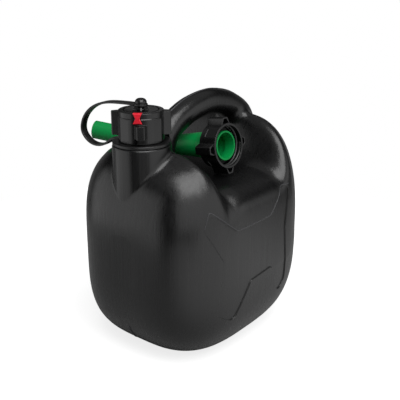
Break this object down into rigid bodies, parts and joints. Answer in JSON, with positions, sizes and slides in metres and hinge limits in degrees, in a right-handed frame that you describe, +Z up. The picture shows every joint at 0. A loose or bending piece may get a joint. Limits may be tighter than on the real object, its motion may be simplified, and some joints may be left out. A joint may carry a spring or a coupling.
{
  "type": "plastic jerrycan",
  "caption": "Blow-moulded plastic fuel can with arched handle, lugged screw cap on a captive strap, and a stowed pouring spout with its own screw collar.",
  "frame": {"origin": "centre of the can's flat base, on the plane it stands on", "axes": "+Z up; +Y along the can from the neck's end to the rear; +X towards the side where the spout's collar sits"},
  "size_m": [0.206, 0.2176, 0.2668],
  "materials": {
    "can_black": "satin",
    "cap_black": "satin",
    "strap_black": "satin",
    "spout_green": "satin",
    "button_red": "satin",
    "seal_rubber": "matte"
  },
  "bodies": {
    "can": {"can_body": "can_black", "cap_strap": "strap_black", "spout_tube": "spout_green", "spout_gasket": "seal_rubber"},
    "closure": {"cap_disc": "cap_black", "cap_gasket": "seal_rubber"},
    "ring": {"cap_ring": "cap_black"},
    "button": {"lock_button": "button_red"},
    "collar": {"spout_collar": "cap_black"}
  },
  "joints": [
    {"name": "cap_lift", "type": "slide", "parent": "can", "child": "closure", "axis": [0, 0, 1], "range_m": [0, 0.0063], "deforming": ["cap_strap"]},
    {"name": "cap_turn", "type": "hinge", "parent": "closure", "child": "ring", "pos_m": [0, -0.076, 0.2268], "axis": [0, 0, 1], "range_deg": [0, 540]},
    {"name": "lock_press", "type": "slide", "parent": "ring", "child": "button", "axis": [-0.5807, 0.8141, 0], "range_m": [0, 0.0015], "stiffness_N_per_m": 2000, "springref_m": -0.0005},
    {"name": "collar_spin", "type": "hinge", "parent": "can", "child": "collar", "pos_m": [0.0515, -0.0056, 0.215], "axis": [-0.989, 0, -0.1478], "continuous": true}
  ],
  "couplings": [
    {"joint": "cap_turn", "follows": "cap_lift", "rad_per_m": 1495}
  ]
}
